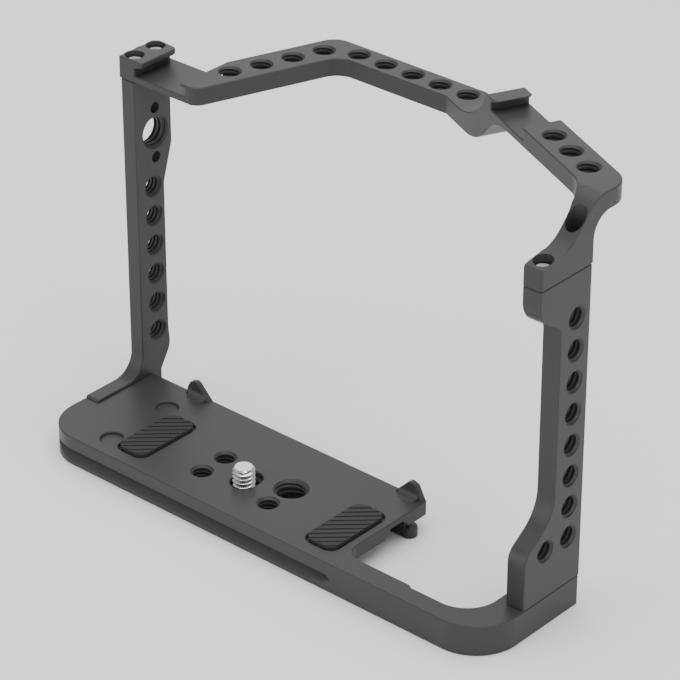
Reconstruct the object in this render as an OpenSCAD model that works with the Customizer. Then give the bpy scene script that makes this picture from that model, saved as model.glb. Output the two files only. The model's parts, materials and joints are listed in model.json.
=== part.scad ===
// Camera cage: an L-shaped base with a dovetail foot, two side plates and a
// top bar that steps round the viewfinder hump, all bolted together.
// Frame: +Z up, +Y towards the lens, +X towards the grip. The origin lies
// under the middle of the outer size, on the ground.
// Inside the source, plan places are counted from the middle of the slot
// that holds the camera screw.

/* [Bay] */
// Clear width between the two side plates
bay_w = 149; // [147:0.5:152]
// From the camera screw slot to the inner face of the left plate
slot_to_left = 59; // [58:0.5:61]
// Thickness of the left plate
left_t = 4.9; // [4.4:0.1:5.2]
// Thickness of the right plate and of the arm above it
right_t = 5.8; // [5.4:0.1:6.4]

/* [Base] */
// Thickness of the base
base_t = 9; // [9:0.1:10]
// From the slot back to the rear face of the base
base_rear = 16; // [15.5:0.1:17]
// From the slot forward to the front edge of the wide plate
base_front = 24.4; // [24:0.1:26]
// From the slot to the right end of the wide plate
plate_end = 43.6; // [42.5:0.1:48]
// Width of the thin rail along the rear edge
rail_w = 6.05; // [6:0.05:7]
// How much wider the rail is beside the wide plate
rail_step = 0.75; // [0.4:0.05:1]
// Place of the step in the rail, from the slot
rail_step_x = 66; // [62:0.5:70]
// Width of the rail under the right plate
side_rail_w = 8.8; // [8:0.1:10]
// Radius of the rear left corner
corner_left_r = 12.4; // [8:0.2:14]
// Radius of the outer corner of the rail
corner_out_r = 13.5; // [12:0.5:15]
// Radius of the inner corner of the rail
corner_in_r = 12; // [10:0.5:14]
// Radius where the wide plate meets the rail
plate_fillet_r = 5; // [3:0.5:6]
// How far the base reaches under the left plate, from the slot
ear_front = 28; // [27.5:0.1:28]

/* [Dovetail foot] */
// Thickness of the wide plate between its two lower rails
slab_t = 4.4; // [4:0.1:4.8]
// Height of the dovetail's lower lip
lip_h = 1.1; // [0.8:0.1:1.4]
// Depth of the dovetail groove in the rear face
groove_d = 2.8; // [2.4:0.1:3]
// Height of the groove's short upper slope
groove_top = 1; // [0.8:0.1:1.2]
// Radius of the cutter that leaves the rounded end of the groove
cutter_r = 12; // [10:0.5:14]
// End of the groove, from the slot
groove_end = 44.4; // [42:0.5:50]
// Width across the dovetail, from the rear face to the front nose
dovetail_w = 37.2; // [36.6:0.1:37.4]
// Depth of the front undercut behind the nose
nose_cut = 0.9; // [0.7:0.1:1.2]
// Height of the front nose
nose_h = 3; // [2.6:0.1:3.2]
// Width of the lower front rail
front_rail_w = 4.3; // [4:0.1:5]
// Rounded end of the lower front rail, from the slot
front_rail_end = 44.2; // [43.6:0.1:45]
// Left end of the arched relief behind the front rail, from the slot
arch_left = 20; // [18:0.5:26]
// Rear edge of the arched relief, from the slot
arch_rear = 6.8; // [6.5:0.1:8]
// Height of the arched relief above the hollow
arch_h = 2.5; // [1.5:0.1:2.6]
// Left end of the hollow between the rails, from the slot
channel_left = 50; // [46:0.5:51]

/* [Base details] */
// Across the hollow between the rails, the radius of its corners
channel_r = 3; // [2:0.5:4]
// Width of a front tab at its foot
tab_w = 9.3; // [8:0.1:10]
// Width of the steep side of a front tab
tab_steep = 1.9; // [1.4:0.1:2.4]
// Width of the top of a front tab
tab_top = 2.4; // [2:0.1:3]
// Height of a front tab
tab_h = 5.1; // [4:0.1:6]
// Thickness of a front tab
tab_t = 1.8; // [1.4:0.1:2.2]
// Fillet behind a front tab
tab_r = 2.4; // [2:0.1:3]
// Rounding of the tip of a tab
tab_tip_r = 1.6; // [1.4:0.1:1.8]
// Outer edge of the left front tab, from the slot
tab_left_x = 44.6; // [43:0.2:46]
// Outer edge of the right front tab, from the slot
tab_right_x = 43; // [42:0.1:43.2]
// Width of a rubber pad
pad_w = 9.8; // [9:0.1:11]
// Length of a rubber pad
pad_l = 22.2; // [20:0.2:23]
// Corner radius of a rubber pad
pad_r = 3; // [2:0.1:4]
// Gap round a pad in its pocket
pad_gap = 0.5; // [0.3:0.1:0.6]
// Depth of the pocket that holds a pad
pad_sink = 1; // [0.8:0.1:1.2]
// Height of a pad above the base
pad_rise = 0.8; // [0.6:0.1:1]
// Middle of the left pad, from the slot
pad_left_x = 33.9; // [32:0.1:36]
// Middle of the right pad, from the slot
pad_right_x = 35.7; // [34:0.1:37]
// Pitch of the ribs of a pad
rib_pitch = 2; // [1.8:0.1:2.6]
// Width of a groove between ribs
rib_gap = 0.8; // [0.7:0.1:1.1]
// Depth of a groove between ribs
rib_d = 0.25; // [0.2:0.05:0.3]
// Direction of the ribs, in degrees
rib_a = 43; // [35:1:50]
// Diameter of the two round recesses beside the left pad
dimple_d = 6.6; // [6:0.1:7.5]
// Depth of the two round recesses
dimple_h = 0.8; // [0.7:0.1:1]
// Place of the round recesses, to the left of the slot
dimple_x = 42.8; // [42.6:0.1:44]
// Place of the rear recess, behind the slot
dimple_rear = 8.7; // [7:0.1:9]
// Place of the front recess, ahead of the slot
dimple_front = 13.2; // [12:0.1:14]

/* [Threads] */
// Wall diameter of a small accessory thread
quarter_d = 5.2; // [5.1:0.05:5.3]
// Wall diameter of a large accessory thread
three_d = 8; // [7.9:0.05:8.1]
// Mouth diameter of a small accessory thread
quarter_mouth = 6.6; // [6.4:0.1:6.8]
// Mouth diameter of a large accessory thread
three_mouth = 10; // [9.6:0.1:10.2]
// Pitch of the holes in the side plates
side_pitch = 9.18; // [9:0.02:9.3]
// Pitch of the holes in the top bar
top_pitch = 9.6; // [9.2:0.1:9.7]
// Spacing along X of the four holes round the slot
nest_x = 24.4; // [23:0.2:25]
// Spacing along Y of the four holes round the slot
nest_y = 9.3; // [9:0.1:9.6]

/* [Camera screw] */
// Width of the slot's upper part, which clears the thread
slot_w = 7.4; // [7:0.1:7.6]
// Travel of the screw along the slot
slot_travel = 2.4; // [2:0.1:2.6]
// Depth of the slot's upper part
slot_step = 1.6; // [1.4:0.1:2]
// Diameter of the screw's neck
neck_d = 5; // [4.8:0.05:5.1]
// Clearance on each side of the neck in the slot
neck_gap = 0.15; // [0.1:0.05:0.25]
// Clearance on each side of the neck in its washer
washer_gap = 0.05; // [0.03:0.01:0.08]
// Outer diameter of the thread
thread_d = 6.3; // [6.2:0.05:6.35]
// Diameter of the screw's relief below the thread
relief_d = 5.6; // [5.5:0.05:5.7]
// Height above the base where the full thread starts
relief_rise = 0.3; // [0.2:0.1:0.5]
// Height of the screw above the base
thread_rise = 4.75; // [4:0.25:5.5]
// Diameter of the screw's head
head_d = 10; // [9:0.1:11]
// Thickness of the screw's head
head_t = 2.6; // [2.2:0.1:2.8]
// Thickness of the washer under the base
washer_t = 0.6; // [0.5:0.1:0.8]
// Where the screw stands in the slot, behind its middle
screw_back = 1.05; // [0.9:0.05:1.1]

/* [Left plate] */
// Depth of the pocket in the base that takes the plate's foot
foot_sink = 3.8; // [3.4:0.1:3.8]
// Height of the thin foot above the base
foot_h = 0.7; // [0.5:0.1:1]
// Rear end of the foot, ahead of the slot
foot_rear = 2; // [1:0.2:4]
// Radius from the foot up to the plate
foot_r = 7; // [5:0.5:8]
// Rear face of the plate, ahead of the slot
left_rear = 20.5; // [20.2:0.1:20.8]
// Front edge of the plate's narrow part
left_front = 31.3; // [31:0.1:32]
// Front edge of the plate's wide top
left_top_front = 34.7; // [34.4:0.1:35]
// Swell of the front edge near the base
left_swell = 0.6; // [0.3:0.1:1]
// Height of the joint between the left plate and the top bar
left_seam = 102; // [101.6:0.2:103]
// Place of the row of small threads, ahead of the slot
left_hole_y = 26.9; // [26.4:0.1:27.2]
// Height of the lowest small thread of the left plate
left_hole_z = 22.1; // [21:0.1:23]
// Number of small threads in the left plate
left_holes = 6; // [4:1:6]
// Depth of the small cones on the outer face of the left plate's threads
outer_cone = 0.3; // [0.2:0.1:0.4]
// Place of the large thread, ahead of the slot
pin_hole_y = 28.3; // [28:0.1:28.6]
// Height of the large thread
pin_hole_z = 84.3; // [84:0.1:86]
// Distance from the large thread to each locating hole
pin_reach = 7.55; // [7.4:0.05:7.8]
// Diameter of the locating holes
pin_d = 3.3; // [3.1:0.05:3.5]

/* [Right plate] */
// Rear face of the plate's foot, ahead of the slot
right_foot_rear = 0.2; // [0:0.1:1]
// Rear edge of the plate's narrow part
right_rear = 11.6; // [11.2:0.1:12]
// Rear edge of the plate's wide top
right_top_rear = 3; // [2.6:0.1:3.4]
// Front edge of the plate
right_front = 23.3; // [23.2:0.1:24]
// Height of the foot's straight rear face
right_foot_z = 24.6; // [22:0.2:25]
// Height where the foot has drawn in
right_neck_z = 32.4; // [31:0.2:34]
// Height over which the plate widens to its top
right_boss_run = 5.6; // [5.2:0.2:6]
// Height of the wide top's straight rear face
right_boss_h = 8.2; // [7.8:0.2:8.6]
// Rounding of the head's lower rear corner
right_boss_out_r = 7; // [6.5:0.5:7.5]
// Fillet where the right plate narrows below its head
right_boss_r = 2.5; // [2:0.1:3]
// How far the joint with the arm lies below the joint with the top bar
seam_drop = 1.4; // [1:0.1:1.6]
// Place of the row of small threads, ahead of the slot
right_hole_y = 17.9; // [17.6:0.1:18.2]
// Height of the lowest small thread of the right plate
right_hole_z = 23.3; // [23:0.1:23.6]
// Number of small threads in the row
right_holes = 8; // [6:1:8]
// Place of the single thread in the foot, ahead of the slot
foot_hole_y = 8.5; // [8:0.1:8.8]

/* [Top bar] */
// Thickness of the top bar
bar_t = 5.3; // [5.1:0.1:5.5]
// Rise from the low bar to the high arm
arm_rise = 11.2; // [10.8:0.1:11.4]
// Thickness of a shoe's floor
floor_t = 2; // [1.8:0.1:2.2]
// Height of a shoe's slot at its wall
shoe_h = 2.3; // [2.1:0.05:2.4]
// Rise of a shoe's lip from its wall to its edge
lip_rise = 0.7; // [0.4:0.1:0.8]
// Width of a shoe's slot
shoe_w = 19; // [18.8:0.1:19.4]
// From the left plate's inner face to the wall of the left shoe
shoe_set = 0.3; // [0.2:0.05:0.4]
// How far the left flange stands out past the left plate
flange_proud = 0.6; // [0.6:0.1:0.9]
// Corner radius of a shoe's lips
lip_r = 1.8; // [1:0.1:2.2]
// Depth of the left shoe's floor along Y
shoe_l = 15.4; // [14.8:0.1:16]
// Overhang of the left shoe's outer lip
left_lip = 2.9; // [2.6:0.1:3]
// Overhang of the left shoe's inner lip
left_lip_in = 1.8; // [1.6:0.1:2]
// Height of the left flange over the shoe's floor
flange_h = 4.6; // [4.5:0.1:5]
// Depth of the left flange along Y
flange_l = 14.3; // [14:0.1:14.8]
// Width of the slanting run of the bar
slant_w = 11.7; // [11.4:0.1:12]
// Direction of the slanting run, in degrees
slant_a = 69.7; // [69:0.1:70.5]
// Middle of the slanting run's row of holes, to the left of the slot
slant_mid_x = 31.7; // [31.4:0.1:32]
// Middle of the slanting run's row of holes, ahead of the slot
slant_mid_y = 48.65; // [48.4:0.05:49]
// Number of holes in the slanting run
slant_holes = 4; // [3:1:4]
// Rear edge of the front run, ahead of the slot
front_rear = 61.75; // [61.5:0.05:62]
// Width of the front run
front_w = 9.2; // [9:0.1:9.6]
// First hole of the front run, to the left of the slot
front_hole_x = 17.6; // [17:0.1:17.8]
// Number of holes in the front run
front_holes = 5; // [4:1:5]
// Radius of the outer corners of the bar
bar_out_r = 6; // [4:0.5:7]
// Radius of the inner corners of the bar
bar_in_r = 6; // [4:0.5:8]

/* [Arm] */
// Where the arm's rear wall leaves the front run, right of the slot
arm_x = 16.9; // [16.5:0.1:17.5]
// Direction of the arm, in degrees below the X axis
arm_a = 25.5; // [25.2:0.1:25.8]
// Width of the arm
arm_w = 11.2; // [11:0.1:11.6]
// End of the scoop that climbs to the arm's flange, along the arm
scoop_end = 24.2; // [24:0.1:24.6]
// Run of the scoop
scoop_run = 17.5; // [17:0.1:18]
// End of the hollow under the climb, along the arm
under_end = 36; // [35.5:0.1:36.5]
// Run of the hollow under the climb
under_run = 24; // [23:0.1:25]
// Thickness of the flange's wall
arm_flange_w = 3; // [2.8:0.1:3]
// Overhang of the flange's lip
arm_lip = 2.6; // [2.4:0.1:2.8]
// Overhang of the block's lip over the shoe
arm_lip_in = 1; // [0.9:0.1:1.2]
// From the wall of the arm's shoe to the first hole of the raised block
block_hole_in = 6.4; // [6.2:0.1:6.8]
// Number of holes in the raised block
block_holes = 3; // [2:1:3]
// Fillet between the block and the right arm
arm_fillet_r = 12; // [8:0.5:13]
// Rounding of the crest where the slope rolls over into the block's top
crest_r = 8; // [6:0.5:8]
// Rounding of the block's front corner
block_r = 8; // [6:0.5:9]
// Fillet under the block, ahead of the right plate
under_fillet_r = 6; // [4:0.5:7]
// Height of the arm's rear end above its joint with the right plate
arm_rear_h = 5.8; // [5.6:0.1:6.2]
// Foot of the arm's slope, ahead of the slot
slope_y = 14.6; // [14.4:0.1:14.8]
// Height at the foot of the arm's slope above the joint
slope_h = 7.6; // [7.4:0.1:7.8]
// Top of the arm's slope, ahead of the slot
slope_top_y = 24.3; // [24.2:0.1:24.6]
// Front edge of the arm above the right plate
arm_front = 23.6; // [23.4:0.1:23.8]

/* [Joint screws] */
// Diameter of a joint screw's shank
joint_d = 2.5; // [2.4:0.05:2.6]
// Clearance on each side of a shank
joint_gap = 0.03; // [0.02:0.01:0.05]
// Diameter of a joint screw's head
cap_d = 4.3; // [4:0.1:4.4]
// Height of a joint screw's head
cap_h = 2.5; // [2.3:0.1:2.6]
// Clearance on each side of a head in its counterbore
cap_gap = 0.1; // [0.05:0.05:0.15]
// Clearance on each side of a head in the top bar
top_gap = 0.5; // [0.45:0.05:0.55]
// Chamfer at the mouth of a counterbore
cap_chamfer = 0.15; // [0.1:0.05:0.15]
// Across the flats of a joint screw's hexagon socket
hex_w = 2; // [1.8:0.1:2.2]
// Depth of the hexagon socket
hex_h = 1.3; // [1.1:0.1:1.5]
// Length of a top joint screw
top_screw_l = 10; // [8:0.5:10]
// Length of a screw into the left foot
left_screw_l = 6; // [5:0.5:6]
// Length of a screw into the right plate
right_screw_l = 12; // [9:0.5:12]
// Middle of the left plate's top screws, in from its outer face
left_screw_in = 2.35; // [2.3:0.05:2.5]
// Rear top screw of the left plate, ahead of the slot
left_screw_rear = 23.8; // [23.6:0.1:24]
// Front top screw of the left plate, ahead of the slot
left_screw_front = 32; // [31.8:0.1:32]
// Depth of the left top screws below the flange
left_screw_drop = 1.4; // [1.3:0.1:1.8]
// Rear top screw of the right plate, ahead of the slot
right_screw_rear = 7.2; // [7:0.1:7.4]
// Front top screw of the right plate, ahead of the slot
right_screw_front = 19.7; // [19.6:0.1:20]
// Height of the seat of the right top screws above the joint
right_seat_h = 2.1; // [2:0.1:2.4]
// Rear base screw of the left plate, ahead of the slot
foot_screw_rear = 16.5; // [15.5:0.5:17.5]
// Front base screw of the left plate, ahead of the slot
foot_screw_front = 24.5; // [24:0.1:25]
// Rear base screw of the right plate, ahead of the slot
rail_screw_rear = 5; // [4.5:0.5:6]
// Front base screw of the right plate, ahead of the slot
rail_screw_front = 17.5; // [16:0.5:18]
// Depth of a base counterbore
cap_sink = 2.9; // [2.7:0.1:3]

/* [Hidden] */

// Curves and cuts
round_fn = 64;
small_fn = 40;
hex_fn = 6;
arc_step = 7;
edge_share = 0.48;
over = 1;
small_r = 0.8;
black = [0.16, 0.16, 0.17];
rubber = [0.08, 0.08, 0.08];
steel = [0.78, 0.78, 0.8];

// Places that follow from the sizes above
left_in = -slot_to_left;
left_out = left_in - left_t;
flange_out = left_out - flange_proud;
shoe_wall = left_in + shoe_set;
right_in = left_in + bay_w;
right_out = right_in + right_t;
bar_front = front_rear + front_w;
origin_x = (flange_out + right_out) / 2;
origin_y = (bar_front - base_rear) / 2;
rail_in = -base_rear + rail_w;
rail_in_wide = rail_in + rail_step;
slab_z = base_t - slab_t;
nose_y = dovetail_w - base_rear;
front_rail_rear = nose_y - front_rail_w;
bar_bottom = left_seam;
bar_top = bar_bottom + bar_t;
shoe_floor = bar_bottom + floor_t;
shoe_top = shoe_floor + shoe_h;
flange_top = shoe_floor + flange_h;
arm_bottom = bar_bottom + arm_rise;
arm_top = bar_top + arm_rise;
arm_floor = shoe_floor + arm_rise;
arm_shoe_top = shoe_top + arm_rise;
shoe_rear = left_rear;
inner_lip_x = shoe_wall + shoe_w - left_lip_in;
arm_dir = [cos(arm_a), -sin(arm_a)];
arm_nor = [sin(arm_a), cos(arm_a)];
arm_start = [arm_x, front_rear];
arm_wall_u = scoop_end + arm_flange_w;
arm_block_u = arm_wall_u + shoe_w;
block_hole_u = arm_block_u + block_hole_in;
arm_run = (right_in - arm_x) / arm_dir[0];
right_mid = right_in + right_t / 2;
right_seam = left_seam - seam_drop;
right_boss_top = right_seam - right_boss_h;
right_boss_z = right_boss_top - right_boss_run;
left_screw_x = left_out + left_screw_in;
foot_mid_x = left_out + left_t / 2;
foot_z = base_t - foot_sink;
left_cap_z = flange_top - left_screw_drop - cap_h;
right_cap_z = right_seam + right_seat_h;
arm_rear_z = right_seam + arm_rear_h;
slope_z = right_seam + slope_h;
slant_dir = [cos(slant_a), sin(slant_a)];
slant_nor = [sin(slant_a), -cos(slant_a)];
slant_mid = [-slant_mid_x, slant_mid_y];
screw_y = -screw_back;
cap_bore = cap_d + 2 * cap_gap;
top_bore = cap_d + 2 * top_gap;
lead = (quarter_mouth - quarter_d) / 2;

// A point of the arm, counted along it and across it
function arm_pt(u, v) = arm_start + arm_dir * u + arm_nor * v;

// Where a line through p with direction d crosses a given X or Y
function at_x(p, d, x) = p + d * ((x - p[0]) / d[0]);
function at_y(p, d, y) = p + d * ((y - p[1]) / d[1]);

function unit(v) = v / norm(v);

// One rounded corner b between a and c
function corner(a, b, c, r) =
    let (
        u = unit(a - b),
        v = unit(c - b),
        ang = acos(max(-1, min(1, u * v)))
    )
    r <= 0 || ang > 179 ? [b] :
    let (
        t = min(r / tan(ang / 2), edge_share * norm(a - b), edge_share * norm(c - b)),
        re = t * tan(ang / 2),
        m = b + unit(u + v) * (re / sin(ang / 2)),
        p = b + u * t - m,
        q = b + v * t - m,
        a0 = atan2(p[1], p[0]),
        raw = atan2(q[1], q[0]) - a0,
        sweep = raw > 180 ? raw - 360 : raw < -180 ? raw + 360 : raw,
        n = max(2, ceil(abs(sweep) / arc_step))
    )
    [for (i = [0:n]) m + re * [cos(a0 + sweep * i / n), sin(a0 + sweep * i / n)]];

// A closed outline with a radius at each of its points: each point is [x, y, r]
function rounded(p) =
    [for (i = [0:len(p) - 1])
        each corner(flat(p[(i + len(p) - 1) % len(p)]), flat(p[i]), flat(p[(i + 1) % len(p)]), p[i][2])];
function flat(p) = [p[0], p[1]];
function with_r(p, r) = [p[0], p[1], r];

// Points of an arc about m
function arc(m, r, a0, a1) =
    let (n = max(2, ceil(abs(a1 - a0) / arc_step)))
    [for (i = [0:n]) m + r * [cos(a0 + (a1 - a0) * i / n), sin(a0 + (a1 - a0) * i / n)]];

// Radius of an arc that is level at one end and climbs rise in run
function climb_r(run, rise) = (run * run + rise * rise) / (2 * rise);

module placed() {
    translate([-origin_x, -origin_y, 0]) children();
}

// An outline in Y and Z, drawn out along X
module side_slab(x, t, pts) {
    translate([x, 0, 0])
        rotate([90, 0, 90])
            linear_extrude(t) polygon(pts);
}

// A threaded hole with a cone at each mouth, along +Z from 0 to h, and both cones alike unless low is given
module thread_cut(d, mouth, h, low) {
    cone = (mouth - d) / 2;
    low_cone = is_undef(low) ? cone : low;
    translate([0, 0, -over]) cylinder(h = h + 2 * over, d = d, $fn = round_fn);
    translate([0, 0, -over])
        cylinder(h = over + low_cone, d1 = d + 2 * (low_cone + over), d2 = d, $fn = round_fn);
    translate([0, 0, h - cone]) cylinder(h = over + cone, d1 = d, d2 = mouth + 2 * over, $fn = round_fn);
}

// The same hole along +X
module thread_cut_x(d, mouth, h, low) {
    rotate([0, 90, 0]) thread_cut(d, mouth, h, low);
}

// A slot along Y with round ends
module slot_cut(w, travel, h) {
    for (s = [-1, 1])
        translate([0, s * travel / 2, 0]) cylinder(h = h, d = w, $fn = round_fn);
    translate([-w / 2, -travel / 2, 0]) cube([w, travel, h]);
}

// Base

module base_outline() {
    polygon(rounded([
        [left_out, -base_rear, corner_left_r],
        [right_out, -base_rear, corner_out_r],
        [right_out, right_front, small_r],
        [right_out - side_rail_w, right_front, small_r],
        [right_out - side_rail_w, rail_in, corner_in_r],
        [rail_step_x + rail_step, rail_in, small_r],
        [rail_step_x, rail_in_wide, small_r],
        [plate_end, rail_in_wide, plate_fillet_r],
        [plate_end, base_front, small_r],
        [left_in, base_front, 0],
        [left_in, ear_front, 0],
        [left_out, ear_front, small_r]
    ]));
}

// The dovetail groove in the rear face, with its rounded end
module rear_groove() {
    axis_y = -base_rear - cutter_r + groove_d;
    run_out = sqrt(cutter_r * cutter_r - (cutter_r - groove_d) * (cutter_r - groove_d));
    stop_x = groove_end - run_out;
    low_r = cutter_r - groove_d;
    peak_z = lip_h + groove_d;
    profile = [[0, lip_h], [low_r, lip_h], [cutter_r, peak_z], [cutter_r - groove_top, peak_z + groove_top],
        [0, peak_z + groove_top]];
    translate([stop_x, axis_y, 0]) {
        rotate_extrude($fn = round_fn) polygon(profile);
        mirror([1, 0, 0])
            rotate([90, 0, 90])
                linear_extrude(stop_x - left_out + over) polygon(profile);
    }
}

// The undercut ahead of the dovetail, beside the hollow
module front_undercut() {
    side_slab(left_in, plate_end - left_in + over, [
        [nose_y, -over],
        [nose_y, nose_h],
        [nose_y - nose_cut, nose_h + nose_cut],
        [nose_y - nose_cut, slab_z],
        [base_front + over, slab_z],
        [base_front + over, -over]
    ]);
}

// The hollow under the wide plate, open at its front and right end
module channel() {
    translate([0, 0, -over])
        linear_extrude(slab_z + over)
            polygon(rounded([
                [-channel_left, rail_in_wide, channel_r],
                [plate_end + 2 * channel_r, rail_in_wide, 0],
                [plate_end + 2 * channel_r, base_front + over, 0],
                [-channel_left, base_front + over, 0]
            ]));
}

// The arched relief behind the front rail, open at its right end
module arch_relief() {
    side_slab(arch_left, plate_end - arch_left + over, rounded([
        [arch_rear, slab_z - over, 0],
        [arch_rear, slab_z, 0],
        [arch_rear + arch_h, slab_z + arch_h, small_r],
        [front_rail_rear - arch_h, slab_z + arch_h, small_r],
        [front_rail_rear, slab_z, 0],
        [front_rail_rear, slab_z - over, 0]
    ]));
}

// The lower front rail with its rounded end
module front_rail() {
    r = front_rail_w / 2;
    stop_x = front_rail_end - r;
    half = [[0, 0], [r, 0], [r, nose_h], [r - nose_cut, nose_h + nose_cut], [r - nose_cut, slab_z], [0, slab_z]];
    translate([stop_x, nose_y - r, 0]) {
        rotate_extrude($fn = round_fn) polygon(half);
        rotate([90, 0, -90])
            linear_extrude(stop_x + channel_left) {
                polygon([for (p = half) [-p[0], p[1]]]);
                square([r, slab_z]);
            }
    }
}

// One front tab, with its steep side at x = 0 and its slope towards +X
module tab() {
    shape = rounded([[0, -over, 0], [0, 0, 0], [tab_steep, tab_h - small_r, tab_tip_r],
        [tab_steep + tab_top, tab_h, tab_tip_r],
        [tab_w, 0, 0], [tab_w, -over, 0]]);
    deep = tab_t + tab_r;
    rotate([90, 0, 0]) linear_extrude(tab_t) polygon(shape);
    intersection() {
        rotate([90, 0, 0]) linear_extrude(deep) polygon(shape);
        difference() {
            translate([0, -deep, -over])
                linear_extrude(tab_r + over)
                    polygon(rounded([[0, deep, 0], [tab_r, 0, tab_r], [tab_w - tab_r, 0, tab_r], [tab_w, deep, 0]]));
            translate([-over, -deep, tab_r])
                rotate([0, 90, 0]) cylinder(h = tab_w + 2 * over, r = tab_r, $fn = round_fn);
        }
    }
}

module pad_outline(grow) {
    w = pad_w + 2 * grow;
    l = pad_l + 2 * grow;
    polygon(rounded([[-w / 2, -l / 2, pad_r], [w / 2, -l / 2, pad_r], [w / 2, l / 2, pad_r], [-w / 2, l / 2, pad_r]]));
}

module base_plate() {
    color(black) placed() difference() {
        union() {
            difference() {
                linear_extrude(base_t) base_outline();
                front_undercut();
                channel();
                arch_relief();
            }
            front_rail();
            translate([-tab_left_x, base_front, base_t]) tab();
            translate([tab_right_x, base_front, base_t]) mirror([1, 0, 0]) tab();
        }
        rear_groove();
        // Pocket for the left plate's foot
        translate([left_out - over, foot_rear, foot_z]) cube([left_t + over, ear_front, base_t]);
        // Pockets for the pads
        for (x = [-pad_left_x, pad_right_x])
            translate([x, 0, base_t - pad_sink]) linear_extrude(pad_sink + over) pad_outline(pad_gap);
        // Round recesses
        for (y = [-dimple_rear, dimple_front])
            translate([-dimple_x, y, base_t - dimple_h]) cylinder(h = dimple_h + over, d = dimple_d, $fn = round_fn);
        // Slot of the camera screw, in two steps
        translate([0, 0, base_t - slot_step]) slot_cut(slot_w, slot_travel, slot_step + over);
        translate([0, 0, slab_z - over]) slot_cut(neck_d + 2 * neck_gap, slot_travel, base_t);
        // Threads round the slot
        for (p = [[-1, 1], [-1, -1], [1, -1]])
            translate([p[0] * nest_x / 2, p[1] * nest_y / 2, slab_z]) thread_cut(quarter_d, quarter_mouth, slab_t);
        translate([nest_x / 2, nest_y / 2, slab_z]) thread_cut(three_d, three_mouth, slab_t);
        // Screws up into the side plates
        for (y = [foot_screw_rear, foot_screw_front]) translate([foot_mid_x, y, 0]) base_screw_cut();
        for (y = [rail_screw_rear, rail_screw_front]) translate([right_mid, y, 0]) base_screw_cut();
    }
}

module base_screw_cut() {
    translate([0, 0, -over]) cylinder(h = cap_sink + over, d = cap_bore, $fn = small_fn);
    cylinder(h = base_t + over, d = joint_d + 2 * joint_gap, $fn = small_fn);
}

// Left plate

module left_plate() {
    neck_top = pin_hole_z - three_mouth / 2;
    neck_low = neck_top - left_swell * three_d;
    toe_z = left_hole_z - quarter_mouth;
    color(black) placed() difference() {
        side_slab(left_out, left_t, rounded([
            [foot_rear, foot_z, 0],
            [foot_rear, base_t + foot_h, small_r],
            [left_rear, base_t + foot_h, foot_r],
            [left_rear, left_seam, 0],
            [left_top_front, left_seam, 0],
            [left_top_front, neck_top, bar_out_r],
            [left_front, neck_low - quarter_mouth, bar_out_r],
            [left_front, left_hole_z, bar_out_r],
            [left_front + left_swell, toe_z, bar_out_r],
            [ear_front, base_t, small_r],
            [ear_front, foot_z, 0]
        ]));
        for (i = [0:left_holes - 1])
            translate([left_out, left_hole_y, left_hole_z + i * side_pitch])
                thread_cut_x(quarter_d, quarter_mouth, left_t, outer_cone);
        translate([left_out, pin_hole_y, pin_hole_z]) thread_cut_x(three_d, three_mouth, left_t, outer_cone);
        for (s = [-1, 1])
            translate([left_out - over, pin_hole_y, pin_hole_z + s * pin_reach])
                rotate([0, 90, 0]) cylinder(h = left_t + 2 * over, d = pin_d, $fn = small_fn);
        for (y = [left_screw_rear, left_screw_front])
            translate([left_screw_x, y, left_cap_z - top_screw_l]) joint_bore(top_screw_l);
        for (y = [foot_screw_rear, foot_screw_front])
            translate([foot_mid_x, y, cap_sink]) joint_bore(left_screw_l);
    }
}

module joint_bore(l) {
    cylinder(h = l + over, d = joint_d + 2 * joint_gap, $fn = small_fn);
    translate([0, 0, -joint_gap]) cylinder(h = l, d = joint_d + 2 * joint_gap, $fn = small_fn);
}

// Right plate

module right_plate() {
    color(black) placed() difference() {
        side_slab(right_in, right_t, rounded([
            [right_foot_rear, base_t, 0],
            [right_foot_rear, right_foot_z, plate_fillet_r],
            [right_rear, right_neck_z, corner_left_r],
            [right_rear, right_boss_z, right_boss_r],
            [right_top_rear, right_boss_top, right_boss_out_r],
            [right_top_rear, right_seam, 0],
            [right_front, right_seam, 0],
            [right_front, base_t, 0]
        ]));
        for (i = [0:right_holes - 1])
            translate([right_in, right_hole_y, right_hole_z + i * side_pitch])
                thread_cut_x(quarter_d, quarter_mouth, right_t);
        translate([right_in, foot_hole_y, right_hole_z]) thread_cut_x(quarter_d, quarter_mouth, right_t);
        for (y = [right_screw_rear, right_screw_front])
            translate([right_mid, y, right_cap_z - top_screw_l]) joint_bore(top_screw_l);
        for (y = [rail_screw_rear, rail_screw_front])
            translate([right_mid, y, base_t - over]) joint_bore(cap_sink + right_screw_l - base_t + over);
    }
}

// Top bar

// The low run: left shoe's inner side, slanting run and front run
module low_run() {
    in_line = slant_mid + slant_nor * (slant_w / 2);
    out_line = slant_mid - slant_nor * (slant_w / 2);
    reach = scoop_end - scoop_run;
    translate([0, 0, bar_bottom])
        linear_extrude(bar_t)
            polygon(rounded([
                [inner_lip_x, shoe_rear, small_r],
                with_r(at_y(in_line, slant_dir, shoe_rear), bar_out_r),
                with_r(at_y(in_line, slant_dir, front_rear), bar_in_r),
                with_r(arm_start, small_r),
                with_r(arm_pt(reach, 0), 0),
                with_r(arm_pt(reach, arm_w), 0),
                with_r(at_y(arm_pt(0, arm_w), arm_dir, bar_front), small_r),
                with_r(at_y(out_line, slant_dir, bar_front), bar_out_r),
                with_r(at_x(out_line, slant_dir, inner_lip_x), small_r)
            ]));
}

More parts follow.
